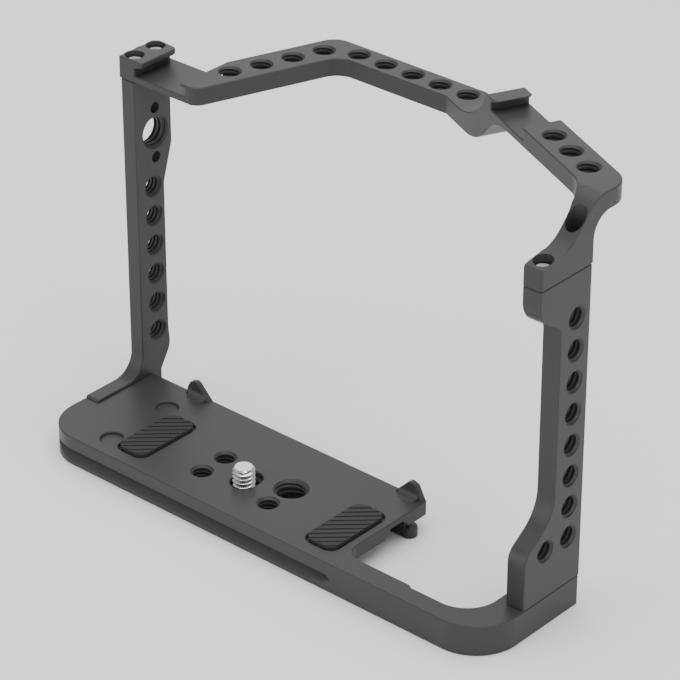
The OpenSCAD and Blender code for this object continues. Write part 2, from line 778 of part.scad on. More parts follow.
// Floor and outer flange of the left shoe
module left_shoe() {
    translate([flange_out, shoe_rear, bar_bottom])
        cube([inner_lip_x - flange_out + 2 * left_lip_in, shoe_l, floor_t]);
    intersection() {
        translate([0, shoe_rear, 0])
            rotate([90, 0, 180])
                linear_extrude(flange_l)
                    polygon([for (p = [
                        [flange_out, bar_bottom],
                        [shoe_wall, bar_bottom],
                        [shoe_wall, shoe_top],
                        [shoe_wall + left_lip, shoe_top + lip_rise],
                        [shoe_wall + left_lip, flange_top],
                        [flange_out, flange_top]
                    ]) [-p[0], p[1]]]);
        translate([0, 0, bar_bottom - over])
            linear_extrude(2 * flange_top)
                polygon(rounded([
                    [flange_out, shoe_rear, 0],
                    [shoe_wall + left_lip, shoe_rear, small_r],
                    [shoe_wall + left_lip, shoe_rear + flange_l, lip_r],
                    [flange_out, shoe_rear + flange_l, small_r * 2]
                ]));
    }
}

// Side view of the arm, counted along it: climb, shoe and raised block
module arm_profile(length) {
    scoop_r = climb_r(scoop_run, arm_rise);
    under_r = climb_r(under_run / 2, arm_rise / 2);
    scoop_low = scoop_end - scoop_run;
    under_start = under_end - under_run;
    scoop_mid = [scoop_low, bar_top + scoop_r];
    scoop_sweep = asin(scoop_run / scoop_r);
    under_sweep = asin(under_run / (2 * under_r));
    block_lip_u = arm_block_u - arm_lip_in;
    polygon(concat(
        [[scoop_low - over, bar_bottom]],
        arc([under_start, bar_bottom + under_r], under_r, -90, -90 + under_sweep),
        arc([under_end, arm_bottom - under_r], under_r, 90 + under_sweep, 90),
        [
            [length, arm_bottom],
            [length, arm_top],
            [block_lip_u, arm_top],
            [block_lip_u, arm_shoe_top],
            [arm_block_u, arm_shoe_top],
            [arm_block_u, arm_floor],
            [arm_wall_u, arm_floor],
            [arm_wall_u, arm_shoe_top],
            [arm_wall_u + arm_lip, arm_shoe_top + lip_rise],
            [arm_wall_u + arm_lip, arm_top],
            [scoop_end, arm_top]
        ],
        arc(scoop_mid, scoop_r, -90 + scoop_sweep, -90),
        [[scoop_low - over, bar_top]]
    ));
}

// Plan of the arm with the part over the right plate
module arm_plan() {
    polygon(rounded([
        with_r(arm_pt(-over, 0), 0),
        with_r(arm_pt(arm_run, 0), arm_fillet_r),
        [right_in, right_top_rear, 0],
        [right_out, right_top_rear, small_r],
        with_r(at_x(arm_pt(0, arm_w), arm_dir, right_out), block_r),
        with_r(arm_pt(-over, arm_w), 0)
    ]));
}

module arm() {
    height = arm_top - right_seam;
    intersection() {
        translate([0, 0, right_seam]) linear_extrude(height) arm_plan();
        union() {
            translate([arm_start[0], arm_start[1], 0])
                rotate([0, 0, -arm_a])
                    translate([0, arm_w + over, 0])
                        rotate([90, 0, 0])
                            linear_extrude(arm_w + 2 * over) arm_profile(arm_run);
            side_slab(right_in - arm_fillet_r, right_t + arm_fillet_r, rounded([
                [right_top_rear, right_seam, 0],
                [right_top_rear, arm_rear_z, small_r],
                [slope_y, slope_z, arm_fillet_r],
                [slope_top_y, arm_top, crest_r],
                [slope_top_y + 2 * arm_w, arm_top, 0],
                [slope_top_y + 2 * arm_w, arm_bottom, 0],
                [arm_front, arm_bottom, under_fillet_r],
                [arm_front, right_seam, 0]
            ]));
        }
    }
}

// Rounds the two corners of the raised lip beside the arm's shoe
module lip_corners() {
    tip = arm_wall_u + arm_lip;
    translate([arm_start[0], arm_start[1], arm_floor + shoe_h / 2])
        rotate([0, 0, -arm_a])
            linear_extrude(arm_top)
                for (v = [0, arm_w]) {
                    s = v > 0 ? -1 : 1;
                    difference() {
                        translate([tip - lip_r, v > 0 ? v - lip_r : -over]) square([lip_r + over, lip_r + over]);
                        translate([tip - lip_r, v + s * lip_r]) circle(r = lip_r, $fn = round_fn);
                    }
                }
}

module top_bar() {
    color(black) placed() difference() {
        union() {
            low_run();
            left_shoe();
            arm();
        }
        lip_corners();
        // Undercut of the left shoe
        translate([shoe_wall, shoe_rear - over, shoe_floor]) cube([shoe_w, shoe_l + 2 * over, shoe_h]);
        // Counterbored screws into the left plate
        for (y = [left_screw_rear, left_screw_front]) {
            translate([left_screw_x, y, left_cap_z]) cylinder(h = flange_top, d = top_bore, $fn = small_fn);
            translate([left_screw_x, y, flange_top - cap_chamfer])
                cylinder(h = cap_chamfer + over, d1 = top_bore, d2 = top_bore + 2 * (cap_chamfer + over),
                    $fn = small_fn);
            translate([left_screw_x, y, bar_bottom - over])
                cylinder(h = flange_top, d = joint_d + 2 * joint_gap, $fn = small_fn);
        }
        // Counterbored screws into the right plate
        for (y = [right_screw_rear, right_screw_front]) {
            translate([right_mid, y, right_cap_z]) cylinder(h = arm_top, d = top_bore, $fn = small_fn);
            translate([right_mid, y, right_seam - over])
                cylinder(h = arm_top, d = joint_d + 2 * joint_gap, $fn = small_fn);
        }
        // Threads of the slanting run, the front run and the raised block
        for (i = [0:slant_holes - 1]) {
            p = slant_mid + slant_dir * ((i - (slant_holes - 1) / 2) * top_pitch);
            translate([p[0], p[1], bar_bottom]) thread_cut(quarter_d, quarter_mouth, bar_t);
        }
        for (i = [0:front_holes - 1])
            translate([-front_hole_x + i * top_pitch, front_rear + front_w / 2, bar_bottom])
                thread_cut(quarter_d, quarter_mouth, bar_t);
        for (i = [0:block_holes - 1]) {
            p = arm_pt(block_hole_u + i * top_pitch, arm_w / 2);
            translate([p[0], p[1], arm_bottom]) thread_cut(quarter_d, quarter_mouth, bar_t);
        }
    }
}

// Rubber pads

module pad() {
    thick = pad_sink + pad_rise;
    span = pad_w + pad_l;
    count = ceil(span / rib_pitch);
    difference() {
        linear_extrude(thick) pad_outline(0);
        rotate([0, 0, rib_a])
            for (i = [-count:count])
                translate([-span, i * rib_pitch - rib_gap / 2, thick - rib_d]) cube([2 * span, rib_gap, rib_d + over]);
    }
}

module pad_left() {
    color(rubber) placed() translate([-pad_left_x, 0, base_t - pad_sink]) pad();
}

module pad_right() {
    color(rubber) placed() translate([pad_right_x, 0, base_t - pad_sink]) pad();
}

// Camera screw and its washer

module camera_screw() {
    ledge = base_t - slot_step + neck_gap;
    tip = base_t + thread_rise;
    head_z = slab_z - washer_t - head_t;
    color(steel) placed() translate([0, screw_y, 0]) difference() {
        union() {
            translate([0, 0, head_z]) cylinder(h = head_t, d = head_d, $fn = round_fn);
            translate([0, 0, head_z]) cylinder(h = ledge - head_z, d = neck_d, $fn = round_fn);
            translate([0, 0, ledge]) cylinder(h = base_t + relief_rise - ledge, d = relief_d, $fn = round_fn);
            translate([0, 0, base_t + relief_rise])
                cylinder(h = thread_rise - lead - relief_rise, d = thread_d, $fn = round_fn);
            translate([0, 0, tip - lead]) cylinder(h = lead, d1 = thread_d, d2 = thread_d - 2 * lead, $fn = round_fn);
        }
        // Coin slot in the head
        translate([-head_d, -hex_w / 2, head_z - over]) cube([2 * head_d, hex_w, hex_h + over]);
    }
}

module screw_washer() {
    color(steel) placed() translate([0, screw_y, slab_z - washer_t]) difference() {
        cylinder(h = washer_t, d = head_d, $fn = round_fn);
        translate([0, 0, -over])
            cylinder(h = washer_t + 2 * over, d = neck_d + 2 * washer_gap, $fn = round_fn);
    }
}

// Joint screws: the head stands on z = 0 and the shank hangs below it

module joint_screw(l) {
    hex_r = hex_w / sqrt(3);
    color(steel) difference() {
        union() {
            cylinder(h = cap_h, d = cap_d, $fn = small_fn);
            translate([0, 0, -l]) cylinder(h = l + cap_h / 2, d = joint_d, $fn = small_fn);
        }
        translate([0, 0, cap_h - hex_h]) cylinder(h = hex_h + over, r = hex_r, $fn = hex_fn);
    }
}

module screw_top_left(y) {
    placed() translate([left_screw_x, y, left_cap_z]) joint_screw(top_screw_l);
}

module screw_top_right(y) {
    placed() translate([right_mid, y, right_cap_z]) joint_screw(top_screw_l);
}

module screw_base(x, y, l) {
    placed() translate([x, y, cap_sink]) mirror([0, 0, 1]) joint_screw(l);
}

module screw_top_left_rear() { screw_top_left(left_screw_rear); }
module screw_top_left_front() { screw_top_left(left_screw_front); }
module screw_top_right_rear() { screw_top_right(right_screw_rear); }
module screw_top_right_front() { screw_top_right(right_screw_front); }
module screw_base_left_rear() { screw_base(foot_mid_x, foot_screw_rear, left_screw_l); }
module screw_base_left_front() { screw_base(foot_mid_x, foot_screw_front, left_screw_l); }
module screw_base_right_rear() { screw_base(right_mid, rail_screw_rear, right_screw_l); }
module screw_base_right_front() { screw_base(right_mid, rail_screw_front, right_screw_l); }

base_plate();
left_plate();
right_plate();
top_bar();
pad_left();
pad_right();
camera_screw();
screw_washer();
screw_top_left_rear();
screw_top_left_front();
screw_top_right_rear();
screw_top_right_front();
screw_base_left_rear();
screw_base_left_front();
screw_base_right_rear();
screw_base_right_front();
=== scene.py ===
"""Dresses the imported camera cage: milled plates with cut threads, screws, ribbed pads and a studio."""

import json
import logging
import math
from contextlib import contextmanager
from dataclasses import dataclass
from enum import Enum
from typing import Iterator

import bmesh
import bpy
from mathutils import Matrix, Vector
from mathutils.kdtree import KDTree


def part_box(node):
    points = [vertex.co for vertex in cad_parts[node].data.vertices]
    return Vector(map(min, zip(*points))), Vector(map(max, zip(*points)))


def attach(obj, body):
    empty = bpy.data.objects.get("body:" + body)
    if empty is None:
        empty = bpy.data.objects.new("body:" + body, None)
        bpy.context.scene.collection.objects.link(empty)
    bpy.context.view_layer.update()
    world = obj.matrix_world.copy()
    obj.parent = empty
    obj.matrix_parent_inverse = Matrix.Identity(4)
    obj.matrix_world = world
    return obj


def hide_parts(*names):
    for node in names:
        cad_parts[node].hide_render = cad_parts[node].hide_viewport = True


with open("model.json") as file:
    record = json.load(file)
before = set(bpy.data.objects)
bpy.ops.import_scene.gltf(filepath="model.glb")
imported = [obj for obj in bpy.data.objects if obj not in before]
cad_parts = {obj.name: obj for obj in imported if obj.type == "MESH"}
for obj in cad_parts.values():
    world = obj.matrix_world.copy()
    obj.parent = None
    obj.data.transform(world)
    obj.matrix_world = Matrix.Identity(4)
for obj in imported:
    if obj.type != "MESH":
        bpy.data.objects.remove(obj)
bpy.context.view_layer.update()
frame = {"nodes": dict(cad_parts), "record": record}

LOG = logging.getLogger("camera_cage")
MM = 0.001
TURN = 2 * math.pi
UPRIGHT = Vector((0, 0, 1))

# Vertices closer than this are one vertex, and faces that turn less than this are one face
MERGE = 0.002 * MM
FLAT = math.radians(0.4)
# Heights closer than this are the same height
HAIR = 1e-7
# The least turn of a round edge that is bevelled
RING_TURN = 1.0
# Sockets of a Mix node on colours
MIX_SHARE, MIX_FIRST, MIX_SECOND, MIX_RESULT = 0, 6, 7, 2
# Octaves of the richer noises
RICH = 3.0
# A weighted normal that follows the faces' areas alone
BY_AREA = 100


class Slot(Enum):
    """The material slots of the record."""

    ANODISED = "anodised"
    RUBBER = "rubber"
    STEEL = "steel"


class Body(Enum):
    """The bodies that pieces ride on."""

    FRAME = "frame"
    WASHER = "washer"
    SCREW = "screw"


class Cut(Enum):
    """How one solid works on another."""

    AWAY = "DIFFERENCE"
    COMMON = "INTERSECT"
    ADD = "UNION"


# Shader maths


class Signal:
    """A shader socket that takes part in plain arithmetic."""

    def __init__(self, graph: "Graph", socket: bpy.types.NodeSocket) -> None:
        """Keeps the socket and the graph it lives in."""
        self.graph = graph
        self.socket = socket

    def _maths(self, operation: str, first: object, second: object = 0.0) -> "Signal":
        """Adds one Math node.

        Args:
            operation: The Math node's operation.
            first: Its first value or link.
            second: Its second value or link.

        Returns:
            The node's result.
        """
        return self.graph.node("ShaderNodeMath", {"operation": operation}, {0: first, 1: second})

    def __add__(self, other: object) -> "Signal":
        """Sum."""
        return self._maths("ADD", self, other)

    def __radd__(self, other: object) -> "Signal":
        """Sum with a number on the left."""
        return self._maths("ADD", other, self)

    def __sub__(self, other: object) -> "Signal":
        """Difference."""
        return self._maths("SUBTRACT", self, other)

    def __rsub__(self, other: object) -> "Signal":
        """Difference with a number on the left."""
        return self._maths("SUBTRACT", other, self)

    def __mul__(self, other: object) -> "Signal":
        """Product."""
        return self._maths("MULTIPLY", self, other)

    def __rmul__(self, other: object) -> "Signal":
        """Product with a number on the left."""
        return self._maths("MULTIPLY", other, self)

    def wave(self) -> "Signal":
        """Sine."""
        return self._maths("SINE", self)

    def blend(self, other: "Signal", share: float) -> "Signal":
        """This signal and another, in shares that add up to 1."""
        return self * share + other * (1 - share)

    def swing(self, reach: float) -> "Signal":
        """A signal from 0 to 1, turned about its middle and scaled."""
        return (self - 0.5) * reach

    def at_least(self, other: object) -> "Signal":
        """The larger of the two."""
        return self._maths("MAXIMUM", self, other)

    def at_most(self, other: object) -> "Signal":
        """The smaller of the two."""
        return self._maths("MINIMUM", self, other)


class Graph:
    """One material's node tree."""

    def __init__(self, name: str) -> None:
        """Makes an empty material.

        Args:
            name: Its name.
        """
        self.material = bpy.data.materials.new(name)
        self.material.use_nodes = True
        self.tree = self.material.node_tree
        self.tree.nodes.clear()

    def node(self, kind: str, settings: dict | None = None, inputs: dict | None = None,
             output: int | str = 0) -> Signal:
        """Adds a node of any type.

        Args:
            kind: The node's type.
            settings: Properties, set first.
            inputs: Values or links of its sockets, by index or name.
            output: The socket that is returned.

        Returns:
            The chosen output.
        """
        made = self.tree.nodes.new(kind)
        for key, value in (settings or {}).items():
            setattr(made, key, value)
        for key, value in (inputs or {}).items():
            if isinstance(value, Signal):
                self.tree.links.new(value.socket, made.inputs[key])
            else:
                made.inputs[key].default_value = value
        return Signal(self, made.outputs[output])

    def place(self) -> Signal:
        """The Object coordinates."""
        return self.node("ShaderNodeTexCoord", output="Object")

    def noise(self, where: Signal, size: float, detail: float = 2.0) -> Signal:
        """Noise of a real size.

        Args:
            where: The coordinates it follows.
            size: The size of one spot, in metres.
            detail: Octaves of finer noise.

        Returns:
            The noise, from 0 to 1.
        """
        inputs = {"Vector": where, "Scale": 1 / size, "Detail": detail}
        return self.node("ShaderNodeTexNoise", {}, inputs, "Fac")

    def mix(self, factor: Signal, first: tuple, second: tuple) -> Signal:
        """Mixes two colours.

        Args:
            factor: The share of the second.
            first: The first colour.
            second: The second colour.

        Returns:
            The mixed colour.
        """
        sides = {MIX_SHARE: factor, MIX_FIRST: (*first, 1.0), MIX_SECOND: (*second, 1.0)}
        return self.node("ShaderNodeMix", {"data_type": "RGBA"}, sides, MIX_RESULT)

    def bump(self, height: Signal, strength: float, depth: float) -> Signal:
        """Turns a height into a normal.

        Args:
            height: The height, from 0 to 1.
            strength: The share of the effect.
            depth: The depth that 1 stands for, in metres.

        Returns:
            The normal.
        """
        inputs = {"Strength": strength, "Distance": depth, "Height": height}
        return self.node("ShaderNodeBump", {}, inputs)

    def surface(self, **sockets: object) -> bpy.types.Material:
        """Closes the material with a Principled shader.

        Args:
            sockets: Its sockets, with _ for each space.

        Returns:
            The finished material.
        """
        named = {key.replace("_", " "): value for key, value in sockets.items()}
        shader = self.node("ShaderNodeBsdfPrincipled", {}, named)
        end = self.tree.nodes.new("ShaderNodeOutputMaterial")
        self.tree.links.new(shader.socket, end.inputs["Surface"])
        return self.material


# Finishes


@dataclass(frozen=True)
class AnodisedFinish:
    """Bead-blasted aluminium, dyed black in the anodising bath."""

    name: str = "black_anodised"
    dark: tuple = (0.036, 0.036, 0.036)
    light: tuple = (0.044, 0.044, 0.044)
    roughness: float = 0.40
    sheen: float = 0.24
    grain: float = 0.22 * MM
    cloud: float = 14 * MM
    cloud_share: float = 0.6
    cloud_gloss: float = 0.10
    grain_gloss: float = 0.08
    strength: float = 0.6
    depth: float = 0.004 * MM

    def make(self) -> bpy.types.Material:
        """Builds the material.

        Returns:
            The material.
        """
        graph = Graph(self.name)
        where = graph.place()
        grain = graph.noise(where, self.grain)
        cloud = graph.noise(where, self.cloud, RICH)
        tone = cloud.blend(grain, self.cloud_share).at_least(0.0).at_most(1.0)
        gloss = self.roughness + cloud.swing(self.cloud_gloss) + grain.swing(self.grain_gloss)
        return graph.surface(
            Base_Color=graph.mix(tone, self.dark, self.light),
            Roughness=gloss,
            Specular_IOR_Level=self.sheen,
            Normal=graph.bump(grain, self.strength, self.depth),
        )


@dataclass(frozen=True)
class RubberFinish:
    """Moulded rubber with a fine matte skin and dusty high spots."""

    name: str = "black_rubber"
    dark: tuple = (0.020, 0.020, 0.020)
    light: tuple = (0.034, 0.034, 0.034)
    roughness: float = 0.72
    sheen: float = 0.35
    grain: float = 0.12 * MM
    cloud: float = 5 * MM
    cloud_share: float = 0.5
    cloud_gloss: float = 0.16
    strength: float = 0.7
    depth: float = 0.012 * MM

    def make(self) -> bpy.types.Material:
        """Builds the material.

        Returns:
            The material.
        """
        graph = Graph(self.name)
        where = graph.place()
        grain = graph.noise(where, self.grain, RICH)
        cloud = graph.noise(where, self.cloud)
        return graph.surface(
            Base_Color=graph.mix(cloud.blend(grain, self.cloud_share), self.dark, self.light),
            Roughness=self.roughness + cloud.swing(self.cloud_gloss),
            Specular_IOR_Level=self.sheen,
            Normal=graph.bump(grain, self.strength, self.depth),
        )


@dataclass(frozen=True)
class TurnedSteelFinish:
    """Stainless steel with the fine rings that a lathe leaves round an axis."""

    name: str
    axis: tuple
    dark: tuple = (0.60, 0.60, 0.60)
    light: tuple = (0.86, 0.86, 0.86)
    roughness: float = 0.17
    ring: float = 0.11 * MM
    ring_share: float = 0.4
    cloud: float = 1.5 * MM
    cloud_gloss: float = 0.14
    strength: float = 0.35
    depth: float = 0.004 * MM

    def make(self) -> bpy.types.Material:
        """Builds the material, centred on the piece's own axis.

        Returns:
            The material.
        """
        graph = Graph(self.name)
        where = graph.place()
        flat = graph.node("ShaderNodeMapping", {}, {
            "Vector": where, "Location": (-self.axis[0], -self.axis[1], 0.0), "Scale": (1.0, 1.0, 0.0)})
        reach = graph.node("ShaderNodeVectorMath", {"operation": "LENGTH"}, {0: flat}, "Value")
        rings = (reach * (TURN / self.ring)).wave() * 0.5 + 0.5
        cloud = graph.noise(where, self.cloud, RICH)
        tone = rings.blend(cloud, self.ring_share).at_least(0.0).at_most(1.0)
        return graph.surface(
            Base_Color=graph.mix(tone, self.dark, self.light),
            Roughness=self.roughness + cloud.swing(self.cloud_gloss),
            Metallic=1.0,
            Normal=graph.bump(rings, self.strength, self.depth),
        )


@dataclass(frozen=True)
class FloorFinish:
    """Pale seamless studio paper."""

    name: str = "studio_paper"
    dark: tuple = (0.90, 0.90, 0.90)
    light: tuple = (0.93, 0.93, 0.93)
    roughness: float = 0.9
    cloud: float = 300 * MM

    def make(self) -> bpy.types.Material:
        """Builds the material.

        Returns:
            The material.
        """
        graph = Graph(self.name)
        cloud = graph.noise(graph.place(), self.cloud)
        return graph.surface(Base_Color=graph.mix(cloud, self.dark, self.light),
                             Roughness=self.roughness)


# Material of the broken edges: the same anodising with lower roughness and a higher specular level, and
# a darker base colour that is painted shade along the chamfers
EDGE_FINISH_PAINTED_SHADE = AnodisedFinish("black_anodised_edge_painted_shade", dark=(0.014, 0.014, 0.014),
                             light=(0.020, 0.020, 0.020), roughness=0.22, sheen=0.5)


# Bench tools


def choose(obj: bpy.types.Object) -> None:
    """Selects one object and nothing else.

    Args:
        obj: The object.
    """
    bpy.ops.object.select_all(action="DESELECT")
    obj.select_set(True)
    bpy.context.view_layer.objects.active = obj


@contextmanager
def editing(obj: bpy.types.Object) -> Iterator[None]:
    """Edit mode on one object, with all of its mesh selected.

    Args:
        obj: The object.

    Yields:
        Nothing, while the object is edited.
    """
    choose(obj)
    bpy.ops.object.mode_set(mode="EDIT")
    bpy.ops.mesh.select_all(action="SELECT")
    try:
        yield
    finally:
        bpy.ops.object.mode_set(mode="OBJECT")


def settle(obj: bpy.types.Object) -> bpy.types.Object:
    """Puts the object's place, turn and scale into its mesh.

    Args:
        obj: The object.

    Returns:
        The same object, at the origin.
    """
    choose(obj)
    bpy.ops.object.transform_apply(location=True, rotation=True, scale=True)
    return obj


def apply_modifier(obj: bpy.types.Object, kind: str, **settings: object) -> None:
    """Adds a modifier and applies it.

    Args:
        obj: The piece.
        kind: The modifier's type.
        settings: Its properties.
    """
    choose(obj)
    made = obj.modifiers.new(kind.lower(), kind)
    for key, value in settings.items():
        setattr(made, key, value)
    bpy.ops.object.modifier_apply(modifier=made.name)


def merged_copy(node: str) -> bpy.types.Object:
    """A copy of a CAD node's mesh, with its loose triangles merged into faces.

    Args:
        node: The node's name.

    Returns:
        The copy, as an object of its own.
    """
    obj = bpy.data.objects.new(node, frame["nodes"][node].data.copy())
    bpy.context.scene.collection.objects.link(obj)
    choose(obj)
    bpy.ops.mesh.customdata_custom_splitnormals_clear()
    with editing(obj):
        bpy.ops.mesh.remove_doubles(threshold=MERGE)
        bpy.ops.mesh.dissolve_limited(angle_limit=FLAT)
    return obj


def machine(obj: bpy.types.Object, tool: bpy.types.Object, cut: Cut) -> None:
    """Cuts, joins or trims a piece with a tool, which is used up.

    Args:
        obj: The piece.
        tool: The closed solid that works on it.
        cut: What is done.
    """
    apply_modifier(obj, "BOOLEAN", operation=cut.value, solver="MANIFOLD", object=tool)
    bpy.data.objects.remove(tool)


def round_bar(radius: float, low: float, high: float, sides: int = 64) -> bpy.types.Object:
    """A closed round bar on the Z axis.

    Args:
        radius: Its radius.
        low: Its lower end.
        high: Its upper end.
        sides: How many sides it has.

    Returns:
        The bar.
    """
    bpy.ops.mesh.primitive_cylinder_add(
        vertices=sides, radius=radius, depth=high - low, location=(0, 0, (low + high) / 2))
    return settle(bpy.context.object)


def break_rings(obj: bpy.types.Object, heights: list[float], width: float, segments: int = 2) -> None:
    """Bevels the round edges that lie at given heights.

    Args:
        obj: The bar.
        heights: The heights of the edges.
        width: The bevel's width.
        segments: Its steps.
    """
    with editing(obj):
        bpy.ops.mesh.select_mode(type="EDGE")
        bpy.ops.mesh.select_all(action="DESELECT")
        mesh = bmesh.from_edit_mesh(obj.data)
        for edge in mesh.edges:
            low, high = sorted(v.co.z for v in edge.verts)
            level = high - low < HAIR and any(abs(low - h) < MERGE / 2 for h in heights)
            edge.select_set(level and edge.is_manifold and edge.calc_face_angle() > RING_TURN)
        bmesh.update_edit_mesh(obj.data)
        bpy.ops.mesh.bevel(offset=width, segments=segments, clamp_overlap=True)


def duplicate(obj: bpy.types.Object, place: Matrix) -> bpy.types.Object:
    """A copy of an object with its own mesh, put somewhere.

    Args:
        obj: What is copied.
        place: Where the copy goes.

    Returns:
        The settled copy.
    """
    choose(obj)
    bpy.ops.object.duplicate(linked=False)
    copy = bpy.context.object
    copy.matrix_world = place
    return settle(copy)


def join(objects: list[bpy.types.Object]) -> bpy.types.Object:
    """Joins objects into the first.

    Args:
        objects: The objects.

    Returns:
        The first, which holds them all.
    """
    choose(objects[0])
    for obj in objects:
        obj.select_set(True)
    bpy.ops.object.join()
    return objects[0]


def dress(obj: bpy.types.Object, name: str, finishes: list[bpy.types.Material], body: Body,
          node: str, smooth: float = 32.0) -> bpy.types.Object:
    """Names, smooths, paints and mounts a finished piece.

    Args:
        obj: The piece.
        name: Its name.
        finishes: Its materials.
        body: The body that carries it.
        node: The CAD node it stands for.
        smooth: The angle up to which its faces blend, in degrees.

    Returns:
        The piece.
    """
    obj.name = name
    obj.data.name = name
    kept = [face.material_index for face in obj.data.polygons]
    obj.data.materials.clear()
    for finish in finishes:
        obj.data.materials.append(finish)
    obj.data.polygons.foreach_set("material_index", [min(i, len(finishes) - 1) for i in kept])
    choose(obj)
    bpy.ops.object.shade_smooth_by_angle(angle=math.radians(smooth))
    apply_modifier(obj, "WEIGHTED_NORMAL", mode="FACE_AREA", weight=BY_AREA, keep_sharp=True)
    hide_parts(node)
    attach(obj, body.value)
    LOG.info("%s: %d faces, rides on %s", name, len(obj.data.polygons), body.value)
    return obj


# Threads


@dataclass(frozen=True)
class Thread:
    """A screw thread.

    Attributes:
        major_r: Radius at its crests.
        minor_r: Radius at its roots.
        pitch: Height of one turn.
        steps: Sides of one turn.
        crest_share: Share of the pitch that the flat crest takes.
        root_share: Share of the pitch that the flat root takes.
        spare: Turns that are made beyond the length, and trimmed off.
    """

    major_r: float
    minor_r: float
    pitch: float
    steps: int = 40
    crest_share: float = 0.125
    root_share: float = 0.25
    spare: int = 3

    def bar(self, length: float) -> bpy.types.Object:
        """A closed threaded bar on the Z axis, centred on the origin.

        Args:
            length: Its length.

        Returns:
            The bar.
        """
        bpy.ops.mesh.primitive_grid_add(x_subdivisions=4, y_subdivisions=1, size=2)
        obj = bpy.context.object
        with editing(obj):
            bpy.ops.mesh.select_all(action="DESELECT")
            mesh = bmesh.from_edit_mesh(obj.data)
            for vert in mesh.verts:
                vert.select_set(vert.co.y > 0)
            mesh.select_flush_mode()
            bmesh.update_edit_mesh(obj.data)
            bpy.ops.mesh.delete(type="VERT")
        low, high = self.root_share / 2, (1 - self.crest_share) / 2
        spots = [(self.minor_r, 0.0), (self.minor_r, low), (self.major_r, high),
                 (self.major_r, 1 - high), (self.minor_r, 1 - low)]
        rail = sorted(obj.data.vertices, key=lambda v: v.co.x)
        for vert, (reach, share) in zip(rail, spots):
            vert.co = (reach, 0.0, share * self.pitch)
        with editing(obj):
            mesh = bmesh.from_edit_mesh(obj.data)
            last = max(mesh.verts, key=lambda v: v.co.z)
            bpy.ops.mesh.select_all(action="DESELECT")
            last.select_set(True)
            bmesh.update_edit_mesh(obj.data)
            bpy.ops.mesh.extrude_vertices_move(
                TRANSFORM_OT_translate={"value": (0, 0, self.pitch * low)})
        turns = math.ceil(length / self.pitch) + self.spare
        apply_modifier(obj, "SCREW", axis="Z", angle=TURN, screw_offset=self.pitch, iterations=turns,
                       steps=self.steps, render_steps=self.steps, use_merge_vertices=False)
        with editing(obj):
            bpy.ops.mesh.remove_doubles(threshold=HAIR)
        middle = self.pitch * (turns + 1) / 2
        for height, inner in ((middle - length / 2, True), (middle + length / 2, False)):
            with editing(obj):
                bpy.ops.mesh.bisect(plane_co=(0, 0, height), plane_no=(0, 0, 1), use_fill=True,
                                    clear_inner=inner, clear_outer=not inner, threshold=HAIR / 10)
        with editing(obj):
            bpy.ops.transform.translate(value=(0, 0, -middle))
            bpy.ops.mesh.normals_make_consistent(inside=False)
        return obj


QUARTER_INCH = Thread(major_r=3.175 * MM, minor_r=2.45 * MM, pitch=1.27 * MM)
THREE_EIGHTHS = Thread(major_r=4.7625 * MM, minor_r=3.85 * MM, pitch=1.5875 * MM, steps=48)
CAMERA_THREAD = Thread(major_r=3.15 * MM, minor_r=2.5 * MM, pitch=1.27 * MM, steps=64)
JOINT_THREAD = Thread(major_r=1.25 * MM, minor_r=1.0 * MM, pitch=0.45 * MM, steps=20)
QUARTER_INCH_LEAD = 0.7 * MM
THREE_EIGHTHS_LEAD = 1.0 * MM
SMALL_HOLE_R = 3 * MM


def lead_of(radius: float) -> float:
    """How deep the cone at a hole's mouth is.

    Args:
        radius: The hole's radius.

    Returns:
        The cone's depth.
    """
    return QUARTER_INCH_LEAD if radius < SMALL_HOLE_R else THREE_EIGHTHS_LEAD


# The machined plates


